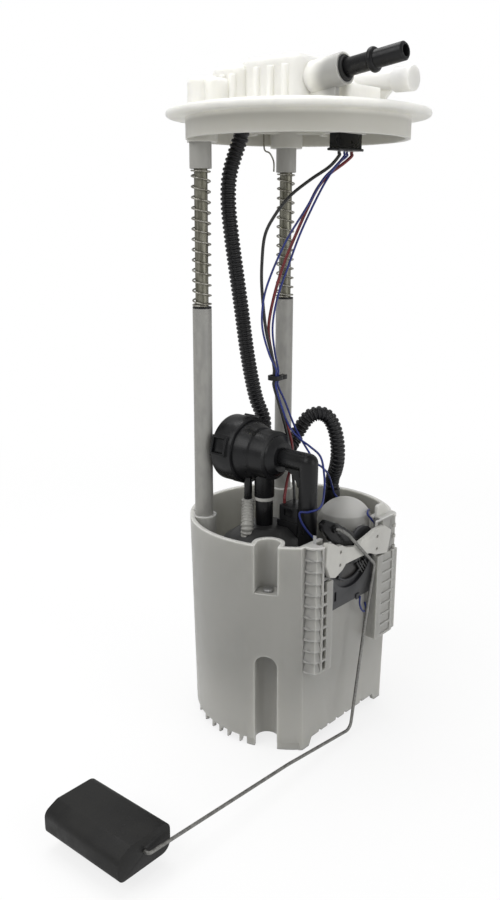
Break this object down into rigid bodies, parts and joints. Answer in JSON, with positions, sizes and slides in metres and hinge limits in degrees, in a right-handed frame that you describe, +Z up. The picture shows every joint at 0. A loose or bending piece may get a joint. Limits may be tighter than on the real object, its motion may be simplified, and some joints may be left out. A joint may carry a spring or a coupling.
{
  "type": "fuel pump module",
  "caption": "In-tank fuel pump module: round flange with outlet nipple, sprung guide rods, reservoir with pump, filter and regulator, and a level sender with a float arm.",
  "frame": {"origin": "centre of the flange at the seal face under its rim, where it rests on the tank opening", "axes": "+Z up out of the tank along the flange axis; -Y towards the flat side of the reservoir with the level sender, where the outlet nipple points too; +X to the right seen from there"},
  "size_m": [0.2728, 0.15, 0.3995],
  "materials": {
    "white_plastic": "bright white moulded acetal, satin",
    "black_plastic": "black moulded nylon, satin gloss",
    "dark_grey_plastic": "dark grey moulded nylon",
    "rubber_seal": "black fluoro rubber",
    "terminal_brass": "tinned brass terminals",
    "rod_steel": "rolled steel tube, oiled grey brown",
    "grey_plastic": "natural grey moulded plastic",
    "spring_steel": "spring steel",
    "hose_rubber": "black corrugated nylon",
    "wire_black": "black wire jacket",
    "wire_red": "dark red wire jacket",
    "wire_blue": "dark blue wire jacket",
    "natural_plastic": "natural translucent grey white acetal",
    "white_seal": "white clamp ring",
    "filter_medium": "pleated filter paper and woven strainer",
    "pump_steel": "zinc plated steel",
    "magnet": "ferrite",
    "clear_hose": "natural corrugated nylon",
    "sender_plastic": "dark grey moulded acetal",
    "card_ceramic": "thick film resistor on ceramic",
    "white_bracket": "white moulded bracket, satin",
    "copper_winding": "copper windings",
    "arm_steel": "stainless spring wire",
    "float_rubber": "closed cell nitrile foam"
  },
  "bodies": {
    "head": {"flange": "white_plastic", "outlet_nipple": "black_plastic", "nipple_seal": "rubber_seal", "vent_valve": "white_plastic", "vent_cap": "white_plastic", "harness_connector": "black_plastic", "terminal_pins": "terminal_brass", "guide_rod_left": "rod_steel", "guide_rod_right": "rod_steel", "rod_sleeve_left": "grey_plastic", "rod_sleeve_right": "grey_plastic", "rod_stop_left": "black_plastic", "rod_stop_right": "black_plastic", "ground_strap": "spring_steel", "spring_left": "spring_steel", "spring_right": "spring_steel", "main_hose": "hose_rubber", "wire_black": "wire_black", "wire_red": "wire_red", "wire_blue_a": "wire_blue", "wire_blue_b": "wire_blue"},
    "reservoir": {"reservoir_bucket": "natural_plastic", "guide_tube_left": "grey_plastic", "guide_tube_right": "grey_plastic", "tube_bushing_left": "black_plastic", "tube_bushing_right": "black_plastic", "regulator_housing": "black_plastic", "regulator_cap": "black_plastic", "elbow_pipe": "black_plastic", "tee_seal_ring": "white_seal", "tee_socket": "black_plastic", "outlet_pipe": "black_plastic", "filter_canister": "black_plastic", "filter_lid": "dark_grey_plastic", "filter_element": "filter_medium", "pump_body": "pump_steel", "pump_end_caps": "black_plastic", "pump_magnets": "magnet", "pump_connector": "black_plastic", "standpipe": "natural_plastic", "loop_hose": "hose_rubber", "jet_pump": "black_plastic", "drain_nipple": "black_plastic", "drain_hose": "clear_hose", "harness_lower": "wire_black", "cable_tie": "black_plastic", "sender_housing": "sender_plastic", "resistor_card": "card_ceramic", "sender_bracket": "white_bracket", "sender_wires": "wire_blue", "pivot_pin": "pump_steel", "channel_screw": "pump_steel", "inlet_strainer": "filter_medium", "check_valve": "rubber_seal"},
    "pump_rotor": {"rotor_armature": "copper_winding", "rotor_shaft": "pump_steel", "pump_impeller": "black_plastic"},
    "float_arm": {"arm_hub": "black_plastic", "arm_wire": "arm_steel"},
    "float_body": {"float": "float_rubber"}
  },
  "joints": [
    {"name": "reservoir_slide", "type": "slide", "parent": "head", "child": "reservoir", "axis": [0, 0, 1], "range_m": [0, 0.06], "stiffness_N_per_m": 400, "springref_m": -0.04, "deforming": ["spring_left", "spring_right", "main_hose", "wire_black", "wire_red", "wire_blue_a", "wire_blue_b"]},
    {"name": "arm_pivot", "type": "hinge", "parent": "reservoir", "child": "float_arm", "pos_m": [-0.003, -0.048, -0.248], "axis": [0, 1, 0], "range_deg": [0, 70]},
    {"name": "float_swivel", "type": "hinge", "parent": "float_arm", "child": "float_body", "pos_m": [-0.1805, -0.03, -0.3504], "axis": [0, 1, 0], "range_deg": [-90, 90]},
    {"name": "rotor_spin", "type": "hinge", "parent": "reservoir", "child": "pump_rotor", "pos_m": [-0.022, 0.002, -0.3], "axis": [0, 0, 1], "continuous": true}
  ]
}
